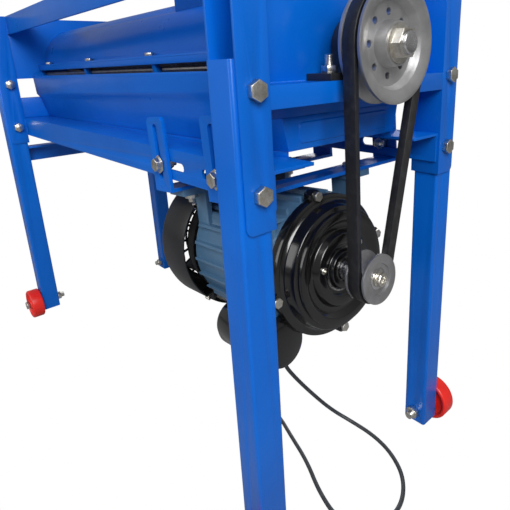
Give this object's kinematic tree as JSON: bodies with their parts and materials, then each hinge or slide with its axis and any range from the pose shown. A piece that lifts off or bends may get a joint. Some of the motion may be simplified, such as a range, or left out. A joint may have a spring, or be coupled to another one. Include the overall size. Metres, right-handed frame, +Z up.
{
  "type": "corn sheller",
  "caption": "Electric corn sheller: toothed drum in a rod concave on a wheeled steel frame, belt driven by a motor hung on slotted straps below",
  "frame": {"origin": "centre of the footprint on the floor under the wheels", "axes": "+X along the drum shaft towards the belt drive end, +Y towards the cob chute side, +Z up"},
  "size_m": [1.1088, 0.476, 0.985],
  "materials": {
    "blue_paint": "glossy blue paint over folded steel, lightly uneven",
    "zinc_bolts": "bright zinc plating with a faint yellow cast",
    "bearing_casting": "black painted casting",
    "bright_steel": "ground steel",
    "plain_steel": "plain rolled steel",
    "motor_grey": "blue-grey painted casting",
    "motor_black": "black enamel",
    "pulley_casting": "turned casting, light grey",
    "belt_rubber": "black belt rubber, slightly glossy flanks",
    "cord_rubber": "dark grey flexible sheath",
    "capacitor_shell": "plain drawn shell",
    "core_steel": "laminated core",
    "winding_varnish": "varnished windings",
    "fan_plastic": "moulded fan",
    "wheel_red": "red moulded plastic"
  },
  "bodies": {
    "frame": {"posts": "blue_paint", "legs": "blue_paint", "leg_bolts": "zinc_bolts", "axle_bolts": "zinc_bolts", "lower_rail_near": "blue_paint", "lower_rail_far": "blue_paint", "upper_rail_near": "blue_paint", "upper_rail_far": "blue_paint", "drive_shelf": "blue_paint", "drive_end_plate": "blue_paint", "tail_end_plate": "blue_paint", "tail_upper_member": "blue_paint", "tail_lower_member": "blue_paint", "grain_trough": "blue_paint", "concave_frame": "blue_paint", "concave_rods": "plain_steel", "hood": "blue_paint", "hood_bolts": "zinc_bolts", "feed_hopper": "blue_paint", "cob_chute": "blue_paint", "pillow_block": "bearing_casting", "flange_bearing": "bearing_casting", "bearing_outer_rings": "bright_steel", "bearing_bolts": "zinc_bolts", "strap_bolts": "zinc_bolts", "mains_plug": "cord_rubber"},
    "drum": {"drum_shaft": "bright_steel", "drum_tube": "plain_steel", "drum_teeth": "plain_steel", "bearing_collars": "bright_steel", "drum_pulley": "pulley_casting", "drum_pulley_nut": "zinc_bolts"},
    "motor_carriage": {"strap_front": "blue_paint", "strap_rear": "blue_paint", "foot_bolts": "zinc_bolts", "motor_housing": "motor_grey", "endshield_front": "motor_black", "endshield_rear": "motor_black", "motor_bearings": "bright_steel", "motor_screws": "zinc_bolts", "stator_core": "core_steel", "stator_windings": "winding_varnish", "fan_cover": "motor_black", "capacitor_covers": "motor_black", "capacitors": "capacitor_shell", "terminal_box": "motor_black", "cable_gland": "cord_rubber", "drive_belt": "belt_rubber", "mains_cord": "cord_rubber"},
    "rotor": {"motor_shaft": "bright_steel", "rotor_core": "core_steel", "cooling_fan": "fan_plastic", "motor_pulley": "pulley_casting", "motor_pulley_bolt": "zinc_bolts"},
    "wheel_drive_near": {"wheel_drive_near": "wheel_red"},
    "wheel_drive_far": {"wheel_drive_far": "wheel_red"},
    "wheel_tail_near": {"wheel_tail_near": "wheel_red"},
    "wheel_tail_far": {"wheel_tail_far": "wheel_red"}
  },
  "joints": [
    {"name": "drum_turn", "type": "hinge", "parent": "frame", "child": "drum", "pos_m": [0, 0, 0.656], "axis": [1, 0, 0], "continuous": true},
    {"name": "motor_height", "type": "slide", "parent": "frame", "child": "motor_carriage", "axis": [-0.0698, 0, 0.9976], "range_m": [-0.012, 0.0015], "deforming": ["drive_belt", "mains_cord"]},
    {"name": "rotor_turn", "type": "hinge", "parent": "motor_carriage", "child": "rotor", "pos_m": [0.52, -0.025, 0.3795], "axis": [0.9976, 0, 0.0698], "continuous": true},
    {"name": "drive_near_wheel_turn", "type": "hinge", "parent": "frame", "child": "wheel_drive_near", "pos_m": [0.477, -0.2155, 0.0375], "axis": [0, 1, 0], "continuous": true},
    {"name": "drive_far_wheel_turn", "type": "hinge", "parent": "frame", "child": "wheel_drive_far", "pos_m": [0.477, 0.2155, 0.0375], "axis": [0, 1, 0], "continuous": true},
    {"name": "tail_near_wheel_turn", "type": "hinge", "parent": "frame", "child": "wheel_tail_near", "pos_m": [-0.477, -0.2155, 0.0375], "axis": [0, 1, 0], "continuous": true},
    {"name": "tail_far_wheel_turn", "type": "hinge", "parent": "frame", "child": "wheel_tail_far", "pos_m": [-0.477, 0.2155, 0.0375], "axis": [0, 1, 0], "continuous": true}
  ],
  "couplings": [
    {"joint": "rotor_turn", "follows": "drum_turn", "ratio": 2.0625}
  ]
}
